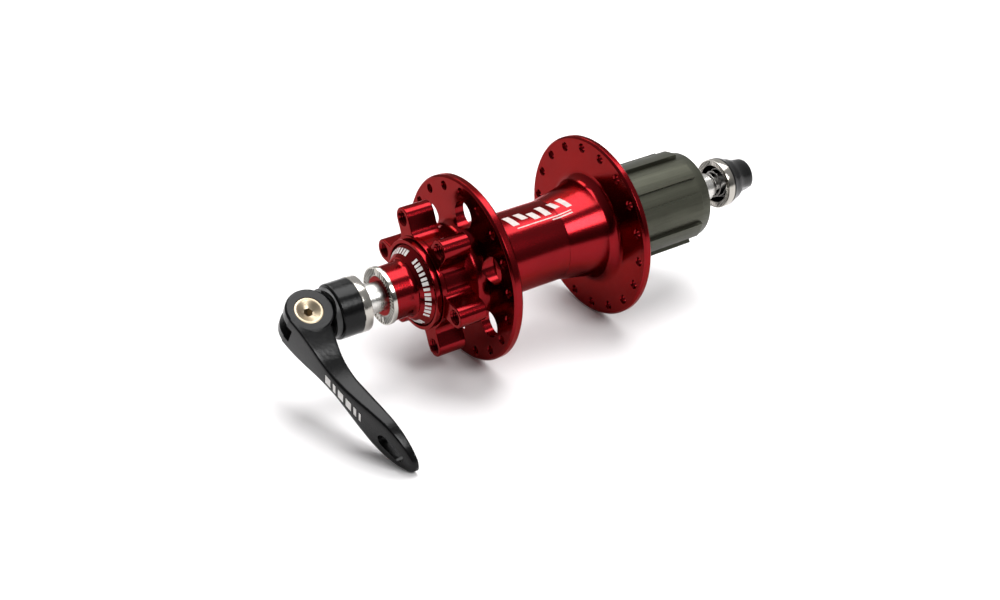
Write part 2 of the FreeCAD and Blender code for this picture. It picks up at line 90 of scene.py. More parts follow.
PIN_HEAD_R = 4.75
CAM_R = 8.45
CAM_THROW = 1.0
CROWN = 0.18                   # how far the lever's outer face stands out at its middle
SKEWER_R = 2.45
WIRE_R = 0.35
FLOOR = -32.5


# ---- surfaces -------------------------------------------------------------------------------
def ring_faces(rings, samples):
    """Quads between each ring of points and the next, and from the last ring to the first."""
    row = np.arange(rings)[:, None]
    col = np.arange(samples)[None, :]
    next_row = (row + 1) % rings
    next_col = (col + 1) % samples
    quads = np.stack([row * samples + col, row * samples + next_col,
                      next_row * samples + next_col, next_row * samples + col], axis=-1)
    return quads.reshape(-1, 4)


def rounded(loop, edge=EDGE):
    """The loop's points with every corner of over 20 degrees cut back by `edge` along both
    sides and bridged with a parabola whose middle control point is the corner."""
    points = np.asarray(loop, float)
    before = np.roll(points, 1, axis=0) - points
    after = np.roll(points, -1, axis=0) - points
    length_before = np.linalg.norm(before, axis=1)
    length_after = np.linalg.norm(after, axis=1)
    straight = np.sum(before * after, axis=1) / (length_before * length_after)
    back = np.minimum(edge, 0.4 * np.minimum(length_before, length_after))
    turns = straight > -np.cos(np.radians(20.0))
    first = points + before / length_before[:, None] * back[:, None]
    last = points + after / length_after[:, None] * back[:, None]
    result = []
    for k in range(len(points)):
        if turns[k]:
            share = np.linspace(0.0, 1.0, 4)[:, None]
            result.append((1 - share) ** 2 * first[k] + 2 * share * (1 - share) * points[k]
                          + share ** 2 * last[k])
        else:
            result.append(points[k][None, :])
    return np.concatenate(result)


def arc(centre, radius, start, end, steps=10):
    """Points of a circle about the centre, from one angle to another, in degrees."""
    angle = np.radians(np.linspace(start, end, steps))
    return [(centre[0] + radius * c, centre[1] + radius * s)
            for c, s in zip(np.cos(angle), np.sin(angle))]


def lathe(profile, around=AROUND):
    """Each (radius, height) of the profile carried round the Y axis: x = r sin a,
    z = r cos a.  The profile closes on itself, or starts and ends on the axis."""
    profile = np.asarray(profile, float)
    angle = np.arange(around) * TURN / around
    radius = profile[:, :1]
    x = radius * np.sin(angle)
    z = radius * np.cos(angle)
    y = np.repeat(profile[:, 1:2], around, axis=1)
    return np.stack([x, y, z], axis=-1).reshape(-1, 3), ring_faces(len(profile), around)


def stations(rows, around=AROUND):
    """Rings whose radius and height may each be a number or a function of the angle."""
    angle = np.arange(around) * TURN / around
    rings = []
    for radius, height in rows:
        r = radius(angle) if callable(radius) else np.full(around, float(radius))
        y = height(angle) if callable(height) else np.full(around, float(height))
        rings.append(np.stack([r * np.sin(angle), y, r * np.cos(angle)], axis=-1))
    return np.concatenate(rings), ring_faces(len(rows), around)


def through(points, at):
    """A smooth curve through (x, y) points: cubic pieces whose slope at each point is that
    of the chord between its neighbours."""
    x, y = np.asarray(points, float).T
    slope = np.gradient(y, x)
    k = np.clip(np.searchsorted(x, at) - 1, 0, len(x) - 2)
    span = x[k + 1] - x[k]
    t = (at - x[k]) / span
    return ((1 + 2 * t) * (1 - t) ** 2 * y[k] + t * (1 - t) ** 2 * span * slope[k]
            + t ** 2 * (3 - 2 * t) * y[k + 1] - t ** 2 * (1 - t) * span * slope[k + 1])


def combined(parts):
    """Several (points, faces) pairs as one."""
    points = np.concatenate([p for p, _ in parts])
    starts = np.cumsum([0] + [len(p) for p, _ in parts[:-1]])
    return points, np.concatenate([f + s for (_, f), s in zip(parts, starts)])


def lever_place(points):
    """From the lever's own axes (down the lever, along the axle, along the pin) to the
    part's frame."""
    down = np.array([-np.sin(LEVER_TILT), 0.0, -np.cos(LEVER_TILT)])
    pin = np.array([np.cos(LEVER_TILT), 0.0, -np.sin(LEVER_TILT)])
    x, y, z = np.asarray(points).T
    placed = x[:, None] * down + z[:, None] * pin
    placed[:, 1] += y + LEVER_PIVOT
    return placed


# ---- meshes and pieces ----------------------------------------------------------------------
def mesh_from(name, surface):
    """A mesh in metres, with poles and seams merged and faces outwards."""
    points, faces = surface
    mesh = bpy.data.meshes.new(name)
    mesh.from_pydata((np.asarray(points) * MM).tolist(), [], np.asarray(faces).tolist())
    shape = bmesh.new()
    shape.from_mesh(mesh)
    bmesh.ops.remove_doubles(shape, verts=shape.verts, dist=1e-7)
    bmesh.ops.dissolve_degenerate(shape, edges=shape.edges, dist=1e-7)
    bmesh.ops.recalc_face_normals(shape, faces=shape.faces)
    shape.to_mesh(mesh)
    shape.free()
    return mesh


def shape_object(name, surface):
    """A surface as an object in the scene, at the origin."""
    thing = bpy.data.objects.new(name, mesh_from(name, surface))
    bpy.context.scene.collection.objects.link(thing)
    return thing


def combine(thing, other, operation):
    """The first shape joined with or cut by the second, which is used up."""
    step = thing.modifiers.new("join", "BOOLEAN")
    step.operation = operation
    step.solver = "EXACT"
    step.object = other
    graph = bpy.context.evaluated_depsgraph_get()
    made = bpy.data.meshes.new_from_object(thing.evaluated_get(graph))
    thing.modifiers.clear()
    thing.data = made
    bpy.data.objects.remove(other)


def piece(thing, body, slot, replaced=(), sharp=32.0):
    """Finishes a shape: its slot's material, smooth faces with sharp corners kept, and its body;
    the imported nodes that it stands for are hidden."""
    mesh = thing.data
    mesh.materials.clear()
    mesh.materials.append(FINISHES[slot])
    mesh.polygons.foreach_set("use_smooth", np.ones(len(mesh.polygons), bool))
    mesh.set_sharp_from_angle(angle=np.radians(sharp))
    even = thing.modifiers.new("even normals", "WEIGHTED_NORMAL")
    even.keep_sharp = True
    even.weight = 60
    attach(thing, body)
    if replaced:
        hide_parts(*replaced)
    return thing


def patch(grid):
    """A printed mark: a grid of points just proud of a surface, and its quads."""
    rows, cols = grid.shape[:2]
    row = np.arange(rows - 1)[:, None] * cols
    col = np.arange(cols - 1)[None, :]
    quads = np.stack([row + col, row + col + 1, row + cols + col + 1, row + cols + col], -1)
    return grid.reshape(-1, 3), quads.reshape(-1, 4)


def printed(name, patches, body, material, thick=0.03):
    """Printed patches as one piece, thickened by a Solidify whose middle is the print."""
    points, faces = combined(patches)
    mesh = bpy.data.meshes.new(name)
    mesh.from_pydata((points * MM).tolist(), [], faces.tolist())
    thing = bpy.data.objects.new(name, mesh)
    bpy.context.scene.collection.objects.link(thing)
    mesh.materials.append(FINISHES[material])
    wall = thing.modifiers.new("ink", "SOLIDIFY")
    wall.thickness = thick * MM
    wall.offset = 0.0
    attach(thing, body)
    return thing


# ---- node groups and finishes ---------------------------------------------------------------
def add(tree, kind, **settings):
    """A new node with its properties set."""
    node = tree.nodes.new(kind)
    for key, value in settings.items():
        setattr(node, key, value)
    return node


def feed(tree, node, **inputs):
    """Links or sets a node's inputs: Base_Color is the socket "Base Color", i0 the first."""
    for key, value in inputs.items():
        name = int(key[1:]) if key[0] == "i" and key[1:].isdigit() else key.replace("_", " ")
        if isinstance(value, bpy.types.NodeSocket):
            tree.links.new(value, node.inputs[name])
        else:
            node.inputs[name].default_value = value
    return node


def new_group(name, inputs, outputs):
    """An empty node group with its sockets, and its input and output nodes."""
    tree = bpy.data.node_groups.new(name, "ShaderNodeTree")
    for title, kind, value in inputs:
        socket = tree.interface.new_socket(title, in_out="INPUT", socket_type=kind)
        if value is not None:
            socket.default_value = value
    for title, kind in outputs:
        tree.interface.new_socket(title, in_out="OUTPUT", socket_type=kind)
    return tree, tree.nodes.new("NodeGroupInput"), tree.nodes.new("NodeGroupOutput")


def math(tree, operation, a, b=None, c=None):
    """The result of one Math node."""
    node = add(tree, "ShaderNodeMath", operation=operation)
    for k, value in enumerate((a, b, c)):
        if value is not None:
            feed(tree, node, **{"i%d" % k: value})
    return node.outputs[0]


def turning_group():
    """Fine marks left by turning: noise read along the distance from the axle's axis and
    along the axle, and hardly at all round it, so that it lies in rings."""
    tree, given, result = new_group(
        "turning marks",
        [("Pitch", "NodeSocketFloat", 0.3), ("Round", "NodeSocketFloat", 0.02)],
        [("Height", "NodeSocketFloat")])
    place = add(tree, "ShaderNodeTexCoord")
    axes = add(tree, "ShaderNodeSeparateXYZ")
    feed(tree, axes, Vector=place.outputs["Object"])
    square = math(tree, "MULTIPLY", axes.outputs["X"], axes.outputs["X"])
    square = math(tree, "MULTIPLY_ADD", axes.outputs["Z"], axes.outputs["Z"], square)
    radius = math(tree, "SQRT", square)
    angle = math(tree, "ARCTAN2", axes.outputs["X"], axes.outputs["Z"])
    per_metre = math(tree, "DIVIDE", 1000.0, given.outputs["Pitch"])
    lines = add(tree, "ShaderNodeCombineXYZ")
    feed(tree, lines,
         X=math(tree, "MULTIPLY", radius, per_metre),
         Y=math(tree, "MULTIPLY", axes.outputs["Y"], per_metre),
         Z=math(tree, "MULTIPLY", math(tree, "COSINE", angle), given.outputs["Round"]))
    marks = add(tree, "ShaderNodeTexNoise")
    feed(tree, marks, Vector=lines.outputs[0], Scale=1.0, Detail=3.0, Roughness=0.6)
    feed(tree, result, Height=marks.outputs[0])
    return tree


def handling_group():
    """Handling marks: broad smudges as a value about a half, and fine specks as a height."""
    tree, given, result = new_group(
        "handling marks",
        [("Smudge", "NodeSocketFloat", 60.0), ("Speck", "NodeSocketFloat", 900.0)],
        [("Smear", "NodeSocketFloat"), ("Height", "NodeSocketFloat")])
    place = add(tree, "ShaderNodeTexCoord")
    smear = add(tree, "ShaderNodeTexNoise")
    feed(tree, smear, Vector=place.outputs["Object"], Scale=given.outputs["Smudge"],
         Detail=5.0, Roughness=0.62)
    speck = add(tree, "ShaderNodeTexNoise")
    feed(tree, speck, Vector=place.outputs["Object"], Scale=given.outputs["Speck"], Detail=2.0)
    feed(tree, result, Smear=smear.outputs[0], Height=speck.outputs[0])
    return tree


GROUPS = {"turning": turning_group(), "handling": handling_group()}


def grouped(tree, name, **inputs):
    """One of the shared groups, placed with its own values."""
    node = add(tree, "ShaderNodeGroup", node_tree=GROUPS[name])
    return feed(tree, node, **inputs)


def ranged(tree, value, low, high, start=0.3, end=0.7):
    """The value spread from one span to another."""
    node = add(tree, "ShaderNodeMapRange")
    feed(tree, node, Value=value, From_Min=start, From_Max=end, To_Min=low, To_Max=high)
    return node.outputs[0]


def blended(tree, share, first, second):
    """Two colours mixed by a share."""
    node = add(tree, "ShaderNodeMix", data_type="RGBA")
    feed(tree, node, i0=share)
    feed(tree, node, i6=(*first, 1.0), i7=(*second, 1.0))
    return node.outputs[2]


def finish(name, colour, worn, metal, rough, turned=None, marks=0.0, coat=0.0,
           coat_rough=0.1, specular=0.5, smudge=70.0, bump=0.0004,
           edge=(1.0, 1.0, 1.0)):
    """One finish: two tones mixed by handling marks, roughness that varies with them, a
    bump of turning marks, or of fine grain where the piece isn't turned, and the tint of
    what it reflects at a grazing angle."""
    material = bpy.data.materials.new(name)
    material.use_nodes = True
    tree = material.node_tree
    shader = tree.nodes["Principled BSDF"]
    hands = grouped(tree, "handling", Smudge=smudge)
    share = ranged(tree, hands.outputs["Smear"], 0.0, 1.0)
    height = hands.outputs["Height"]
    if turned:
        rings = grouped(tree, "turning", Pitch=turned)
        height = rings.outputs["Height"]
        share = math(tree, "MULTIPLY", share, ranged(tree, rings.outputs["Height"], 0.6, 1.0))
    feed(tree, shader,
         Base_Color=blended(tree, share, colour, worn),
         Metallic=metal,
         Roughness=ranged(tree, hands.outputs["Smear"], rough[0], rough[1]),
         Specular_IOR_Level=specular,
         Specular_Tint=(*edge, 1.0),
         Coat_Weight=coat,
         Coat_Roughness=coat_rough)
    relief = add(tree, "ShaderNodeBump")
    feed(tree, relief, Strength=marks, Distance=bump, Height=height)
    feed(tree, shader, Normal=relief.outputs[0])
    return material


def streaked(name, colour, worn, metal, rough, marks, along):
    """A finish whose grain runs along the axle: noise squeezed along Y."""
    material = bpy.data.materials.new(name)
    material.use_nodes = True
    tree = material.node_tree
    shader = tree.nodes["Principled BSDF"]
    place = add(tree, "ShaderNodeTexCoord")
    squeeze = add(tree, "ShaderNodeMapping")
    feed(tree, squeeze, Vector=place.outputs["Object"], Scale=(1.0, along, 1.0))
    grain = add(tree, "ShaderNodeTexNoise")
    feed(tree, grain, Vector=squeeze.outputs[0], Scale=1400.0, Detail=4.0, Roughness=0.6)
    hands = grouped(tree, "handling", Smudge=110.0)
    share = math(tree, "MULTIPLY", ranged(tree, grain.outputs[0], 0.0, 1.0),
                 ranged(tree, hands.outputs["Smear"], 0.3, 1.0))
    feed(tree, shader,
         Base_Color=blended(tree, share, colour, worn),
         Metallic=metal,
         Roughness=ranged(tree, hands.outputs["Smear"], rough[0], rough[1]))
    relief = add(tree, "ShaderNodeBump")
    feed(tree, relief, Strength=marks, Distance=0.0002, Height=grain.outputs[0])
    feed(tree, shader, Normal=relief.outputs[0])
    return material


FINISHES = {
    "anodised_red": finish(
        "anodised red", (0.185, 0.002, 0.005), (0.145, 0.0015, 0.004), 1.0, (0.15, 0.21),
        turned=0.22, marks=0.05, coat=0.16, coat_rough=0.14, edge=(0.55, 0.06, 0.08)),
    "satin_alloy": finish(
        "satin turned alloy", (0.66, 0.65, 0.62), (0.56, 0.55, 0.53), 1.0, (0.20, 0.32),
        turned=0.3, marks=0.12),
    "bright_steel": finish(
        "bright plated steel", (0.46, 0.44, 0.41), (0.36, 0.34, 0.30), 1.0, (0.10, 0.20),
        turned=0.25, marks=0.05),
    "tool_steel": finish(
        "hardened steel", (0.33, 0.33, 0.34), (0.22, 0.22, 0.23), 1.0, (0.25, 0.4),
        turned=0.4, marks=0.1),
    "hard_anodised_alloy": streaked(
        "grey-green hard anodising", (0.066, 0.067, 0.050), (0.043, 0.044, 0.032), 0.85,
        (0.36, 0.46), 0.25, 0.02),
    "seal_rubber": finish(
        "seal rubber", (0.018, 0.018, 0.019), (0.03, 0.03, 0.03), 0.0, (0.55, 0.7),
        marks=0.2),
    "spring_steel": finish(
        "drawn wire", (0.30, 0.29, 0.28), (0.20, 0.19, 0.18), 1.0, (0.2, 0.34), marks=0.1),
    "zinc_steel": finish(
        "zinc plated steel", (0.58, 0.57, 0.54), (0.45, 0.44, 0.41), 1.0, (0.22, 0.36),
        marks=0.12),
    "nickel_steel": finish(
        "warm nickel", (0.42, 0.35, 0.26), (0.32, 0.26, 0.18), 1.0, (0.30, 0.42),
        marks=0.06),
    "black_alloy": finish(
        "black anodised alloy", (0.002, 0.002, 0.0022), (0.004, 0.004, 0.0043), 0.0,
        (0.18, 0.26), marks=0.08, specular=0.16),
    "black_plastic": finish(
        "moulded black", (0.012, 0.012, 0.013), (0.02, 0.02, 0.02), 0.0, (0.35, 0.5),
        marks=0.2),
    "nylon": finish("nylon", (0.7, 0.7, 0.66), (0.6, 0.6, 0.56), 0.0, (0.4, 0.5), marks=0.1),
    "bearing_steel": finish(
        "ground steel", (0.55, 0.55, 0.56), (0.45, 0.45, 0.46), 1.0, (0.1, 0.2),
        turned=0.4, marks=0.05),
    "pale_print": finish(
        "pale print", (0.58, 0.53, 0.50), (0.44, 0.36, 0.34), 0.0, (0.35, 0.5),
        marks=0.1, smudge=400.0),
    "white_print": finish(
        "white print", (0.80, 0.78, 0.76), (0.62, 0.60, 0.58), 0.0, (0.4, 0.5),
        marks=0.1, smudge=400.0),
}


# ---- hub shell ------------------------------------------------------------------------------
def cone_fillet():
    """Where the widening barrel turns into the right flange: centre and radius of an arc
    that is tangent to both."""
    radius = 4.0
    along = np.hypot(1.0, CONE_SLOPE)
    centre_y = RIGHT_FLANGE[0] + radius
    centre_r = BARREL_R + radius * along - CONE_SLOPE * centre_y
    return (centre_r, centre_y), radius


def flange_rim(low, high, chamfer=0.7):
    """The turned rim of a flange between two faces, from the first face to the second."""
    step = np.sign(high - low) * chamfer
    return [(FLANGE_R - chamfer, low), (FLANGE_R, low + step),
            (FLANGE_R, high - step), (FLANGE_R - chamfer, high)]


def shell_profile():
    """The barrel, both flanges and the neck's end, with the bore, as (radius, y)."""
    flange_in, flange_out = LEFT_FLANGE
    centre, fillet = cone_fillet()
    lean = np.degrees(np.arctan(CONE_SLOPE))
    outside = [
        (14.3, 54.6), (15.5, 54.6), (15.5, 53.1), (15.0, 53.1), (15.0, 52.6),
        (16.2, 52.6), (16.2, 50.9), (NECK_R, 50.5)]
    outside += arc((NECK_R + 3.6, flange_out + 3.6), 3.6, 180, 270)
    outside += flange_rim(flange_out, flange_in)
    outside += arc((BARREL_R + 3.0, flange_in - 3.0), 3.0, 90, 180)
    outside += [(BARREL_R, 0.25), (BARREL_R - 0.05, 0.15), (BARREL_R - 0.05, -0.1),
                (BARREL_R + 0.03, -0.2)]
    outside += arc(centre, fillet, 180 + lean, 270, 14)
    outside += flange_rim(*RIGHT_FLANGE)
    inside = [
        (15.9, -20.63), (15.9, -14.1), (14.0, -14.1), (14.0, -12.6), (12.0, -12.6),
        (12.0, -7.6), (11.2, -7.6), (11.2, 45.5), (14.0, 45.5), (14.0, 52.5), (14.3, 52.5)]
    return rounded(outside + inside)


def star_outline(offset):
    """The neck with its six bolt arms seen along the axle: parallel sides, a round end, and
    a hollow fillet down to the neck, moved outwards along its normal by the offset."""
    reach = NECK_R + BOSS_FILLET_R
    fillet_x = BOSS_R + BOSS_FILLET_R
    fillet_z = np.sqrt(reach ** 2 - fillet_x ** 2)
    foot = np.degrees(np.arctan2(fillet_x, fillet_z))
    neck = np.radians(np.linspace(-180.0 / BOSSES, -foot, 7)[:-1])
    parts = [np.stack([NECK_R * np.sin(neck), NECK_R * np.cos(neck),
                       np.sin(neck), np.cos(neck)], -1)]
    hollow = np.linspace(-(np.pi / 2 - np.radians(foot)), 0.0, 12)
    hollow_x = -fillet_x + BOSS_FILLET_R * np.cos(hollow)
    hollow_z = fillet_z + BOSS_FILLET_R * np.sin(hollow)
    parts.append(np.stack([hollow_x, hollow_z, -np.cos(hollow), -np.sin(hollow)], -1))
    side = np.linspace(fillet_z, BOLT_CIRCLE_R, 5)[1:-1]
    parts.append(np.stack([np.full(3, -BOSS_R), side, np.full(3, -1.0), np.zeros(3)], -1))
    end = np.linspace(-np.pi / 2, 0.0, 12)
    parts.append(np.stack([BOSS_R * np.sin(end), BOLT_CIRCLE_R + BOSS_R * np.cos(end),
                           np.sin(end), np.cos(end)], -1))
    half = np.concatenate(parts)
    mirror = half[::-1] * np.array([-1, 1, -1, 1])
    arm = np.concatenate([half, mirror[1:-1]])
    flat = arm[:, :2] + offset * arm[:, 2:]
    turns = np.radians(BOSS_ANGLE + np.arange(BOSSES) * 360.0 / BOSSES)
    x = flat[:, 0] * np.cos(turns[:, None]) + flat[:, 1] * np.sin(turns[:, None])
    z = -flat[:, 0] * np.sin(turns[:, None]) + flat[:, 1] * np.cos(turns[:, None])
    return np.stack([x.ravel(), z.ravel()], -1)


def arms():
    """The star carried along the axle, with a broken edge at the disc's face and another
    at its foot, clear of the flange."""
    edge = 0.35
    sweep = np.radians(np.linspace(0, 90, 7))
    levels = [(-edge * (1 - np.sin(a)), DISC_FACE - edge * (1 - np.cos(a))) for a in sweep]
    levels += [(-edge * (1 - np.cos(a)), ARM_FOOT + edge * (1 - np.sin(a))) for a in sweep]
    rings = [np.insert(star_outline(offset), 1, y, axis=1) for offset, y in levels]
    inner = star_outline(0.0)
    inner *= 14.9 / np.linalg.norm(inner, axis=1)[:, None]
    rings = ([np.insert(inner, 1, DISC_FACE, axis=1)] + rings
             + [np.insert(inner, 1, ARM_FOOT, axis=1)])
    return np.concatenate(rings), ring_faces(len(rings), len(rings[0]))


def hole(profile, circle_r, angle, around=32):
    """A turned cutter standing on a circle about the axle."""
    points, faces = lathe(profile, around)
    shift = np.array([circle_r * np.sin(np.radians(angle)), 0.0,
                      circle_r * np.cos(np.radians(angle))])
    return points + shift, faces


def spoke_cutters(angle, faces_y):
    """Spoke holes with a small countersink on both faces."""
    low, high = sorted(faces_y)
    flare = 0.35
    wide = SPOKE_HOLE_R + flare
    profile = [(0, low - 1), (wide, low - 1), (wide, low), (SPOKE_HOLE_R, low + flare),
               (SPOKE_HOLE_R, high - flare), (wide, high), (wide, high + 1), (0, high + 1)]
    pitch = 360.0 / SPOKES_A_SIDE
    return [hole(profile, SPOKE_CIRCLE_R, angle + k * pitch) for k in range(SPOKES_A_SIDE)]


def tap_profile():
    """An M5 thread as rings, 0.8 mm apart, under a small countersink."""
    pitch = 0.8
    crest_r, root_r, mouth_r = 2.12, 2.45, 2.7
    top = DISC_FACE - 0.6
    bottom = DISC_FACE - TAP_DEPTH
    thread = []
    for y in top - pitch * np.arange(int((top - bottom) / pitch)):
        thread += [(crest_r, y), (crest_r, y - 0.12), (root_r, y - 0.4), (root_r, y - 0.5)]
    return ([(0, DISC_FACE + 1), (mouth_r, DISC_FACE + 1), (mouth_r, DISC_FACE)] + thread
            + [(2.1, bottom), (0, bottom - 1.0)])


def shell():
    """The turned body joined to the star of arms, then cut by every hole."""
    shape = shape_object("shell", lathe(shell_profile()))
    combine(shape, shape_object("arms", arms()), "UNION")
    flange_in, flange_out = LEFT_FLANGE
    pitch = 360.0 / BOSSES
    cutters = spoke_cutters(58.1, LEFT_FLANGE) + spoke_cutters(88.3, RIGHT_FLANGE)
    cutters += [hole(tap_profile(), BOLT_CIRCLE_R, BOSS_ANGLE + k * pitch, 40)
                for k in range(BOSSES)]
    rim = LIGHTENING_R + 0.3
    lightening = [(0, flange_in - 1), (rim, flange_in - 1), (rim, flange_in),
                  (LIGHTENING_R, flange_in + 0.3), (LIGHTENING_R, flange_out + 4),
                  (0, flange_out + 4)]
    cutters += [hole(lightening, LIGHTENING_CIRCLE_R, BOSS_ANGLE + (k + 0.5) * pitch, 72)
                for k in range(BOSSES)]
    combine(shape, shape_object("holes", combined(cutters)), "DIFFERENCE")
    piece(shape, "shell", "anodised_red", ["hub_shell"])


def barrel_patch(y, width, low, high, lean):
    """A leaning bar on the barrel: heights along the axle, angles round it."""
    share_y = np.linspace(0, 1, 9)[:, None]
    share_a = np.linspace(0, 1, 9)[None, :]
    angle = np.radians(low + (high - low) * share_a) + 0 * share_y
    along = y + width * share_y + lean * (share_a - 0.5)
    radius = BARREL_R + 0.02 + CONE_SLOPE * np.maximum(0.0, -along)
    grid = np.stack([radius * np.sin(angle), along, radius * np.cos(angle)], -1)
    return patch(grid)


def barrel_print():
    """A generic mark on the barrel: leaning bars of three heights over a long thin line."""
    bars = [(16.0, 2.6, 337, 357), (11.6, 2.6, 343, 357), (7.2, 2.6, 337, 351),
            (2.8, 2.6, 337, 357), (-1.6, 2.0, 343, 357), (-5.4, 2.0, 337, 357)]
    patches = [barrel_patch(y, width, low, high, 1.6) for y, width, low, high in bars]
    patches.append(barrel_patch(-5.0, 22.0, 331.0, 332.6, 0.2))
    patches.append(barrel_patch(-5.0, 8.0, 327.0, 329.0, 0.2))
    printed("barrel_print", patches, "shell", "pale_print")


# ---- axle, end caps and lock rings ----------------------------------------------------------
def cap_profile():
    """The left end cap as (radius, y): a sloping shield, a hollow curve and a sleeve."""
    back = arc((12.35, 59.6), 3.0, 225, 180, 6)
    return rounded([
        (5.02, 52.5), (9.2, 52.5), (9.2, 53.2), (13.9, 53.2), (13.9, 54.3), (10.4, 57.9)]
        + back[1:] + [(9.35, 66.0), (6.8, 66.0), (6.8, 67.2), (5.02, 67.2)])


def cap_print():
    """Three runs of short dashes on the sloping shield: height falls evenly with radius."""
    patches = []
    starts = [k for k in range(0, 360, 8) if k % 120 < 104]
    for k, start in enumerate(starts):
        share_r = np.linspace(0, 1, 4)[:, None]
        span = 4.6 if k % 3 else 6.0
        angle = np.radians(start + span * np.linspace(0, 1, 7))[None, :] + 0 * share_r
        radius = 11.5 + 1.5 * share_r + 0 * angle
        height = 54.3 + (13.9 - radius) * 3.6 / 3.5 + 0.02
        grid = np.stack([radius * np.sin(angle), height, radius * np.cos(angle)], -1)
        patches.append(patch(grid))
    printed("cap_print", patches, "axle_group", "white_print")


def serration(face, depth, side, teeth):
    """A face height that drops by the depth in the gaps between flat-topped teeth."""
    def height(angle):
        share = (angle * teeth / TURN) % 1.0
        return face - side * depth * np.clip(3.0 * np.abs(2 * share - 1) - 1.0, 0, 1)
    return height


def toothed_ring(name, body, inner, outer, tooth_in, tooth_out, face, back, side, teeth,
                 node):
    """A clamp ring: a smooth outer band and radial teeth on its face inside it."""
    teeth_at = serration(face - side * 0.05, 0.55, side, teeth)
    edge = 0.2
    rows = [
        (inner, back), (outer, back), (outer, face - side * edge),
        (outer - 0.3 * edge, face - side * 0.3 * edge), (outer - edge, face),
        (tooth_out + 0.25, face), (tooth_out, teeth_at), (tooth_in, teeth_at),
        (tooth_in - 0.2, face - side * 0.5), (inner, face - side * 0.5)]
    shape = shape_object(name, stations(rows, teeth * 8))
    piece(shape, body, "bright_steel", [node], sharp=24.0)


def axle_parts():
    """The axle, the end caps and the toothed rings on them."""
    piece(shape_object("left_cap", lathe(cap_profile())), "axle_group", "anodised_red",
          ["left_end_cap"])
    cap_print()
    toothed_ring("left_ring", "axle_group", 6.82, 9.95, 7.2, 9.2, CLAMP_FACE,
                 CLAMP_FACE - 1.5, 1, 44, "left_lock_ring")
    toothed_ring("right_ring", "axle_group", 6.02, 8.0, 6.3, 7.5, -CLAMP_FACE,
                 -CLAMP_FACE + 1.5, -1, 48, "right_lock_ring")
    right = rounded([
        (5.02, -53.0), (9.2, -53.0), (9.2, -54.6), (8.0, -55.8), (8.0, -66.0), (6.0, -66.0),
        (6.0, -67.2), (5.02, -67.2)])
    piece(shape_object("right_cap", lathe(right)), "axle_group", "satin_alloy",
          ["right_end_cap"])
    tube = rounded([
        (2.75, 73.0), (5.0, 73.0), (5.0, 52.5), (7.5, 52.5), (7.5, -53.0), (5.0, -53.0),
        (5.0, -73.0), (2.75, -73.0)], 0.3)
    piece(shape_object("axle_tube", lathe(tube)), "axle_group", "satin_alloy", ["axle"])


# ---- freehub --------------------------------------------------------------------------------
def freehub():
    """Rings whose radius drops to the root in nine grooves, over a plain nose: a point is
    in a groove where its distance across the groove's middle line is under half the
    groove's width."""
    groove_angle = np.radians(SPLINE_ANGLE)

    def splined(outer):
        def radius(angle):
            off = (angle - groove_angle + np.pi / SPLINES) % (TURN / SPLINES) - np.pi / SPLINES
            inside = np.abs(outer * np.sin(off)) < SPLINE_GROOVE / 2
            return np.where(inside, min(outer, FREEHUB_ROOT_R), outer)
        return radius

    end = FREEHUB_END
    rows = [
        (9.6, -13.2), (13.0, -13.2), (13.4, -13.6), (13.4, -22.4), (FREEHUB_R - 0.2, -22.4),
        (FREEHUB_R, -22.6), (FREEHUB_R, -24.55), (splined(FREEHUB_R), -24.65),
        (splined(FREEHUB_R), SPLINE_END + 0.4), (splined(FREEHUB_R - 0.12), SPLINE_END + 0.12),
        (splined(FREEHUB_R - 0.4), SPLINE_END), (NOSE_R, SPLINE_END), (NOSE_R, end + 0.3),
        (NOSE_R - 0.09, end + 0.09), (NOSE_R - 0.3, end), (15.2, end), (14.8, end + 0.4)]
    pitch = 1.0
    for k in range(4):
        y = end + 0.6 + k * pitch
        rows += [(14.8, y), (15.25, y + 0.45), (15.25, y + 0.5)]
    rows += [(14.8, -55.2), (14.0, -55.2), (14.0, -54.3), (14.6, -54.3), (14.6, -53.0),
             (14.0, -53.0), (14.0, -25.0), (9.6, -25.0)]
    piece(shape_object("freehub", stations(rows, 1080)), "freehub", "hard_anodised_alloy",
          ["freehub_body"])


# ---- quick-release skewer -------------------------------------------------------------------
def threaded_rod():
    """The skewer's rod: plain, then an M5 thread whose radius falls in a V once for each
    0.8 mm along it, less the share of a turn."""
    pitch = 0.8
    depth = 0.4
    start = -64.0
    end = -88.5

    def cut(y):
        def radius(angle):
            share = (y / pitch + angle / TURN) % 1.0
            ease = min(1.0, (start - y) / 2.0)
            return SKEWER_R - depth * ease * (1 - np.abs(2 * share - 1))
        return radius

    rows = [(0.0, LEVER_PIVOT - 1.5), (2.2, LEVER_PIVOT - 1.5), (SKEWER_R, LEVER_PIVOT - 1.8),
            (SKEWER_R, 0.0), (SKEWER_R, start)]
    rows += [(cut(y), y) for y in np.arange(start - 0.1, end + 0.3, -0.13)]
    rows += [(1.9, end), (0.0, end)]
    return stations(rows, 48)


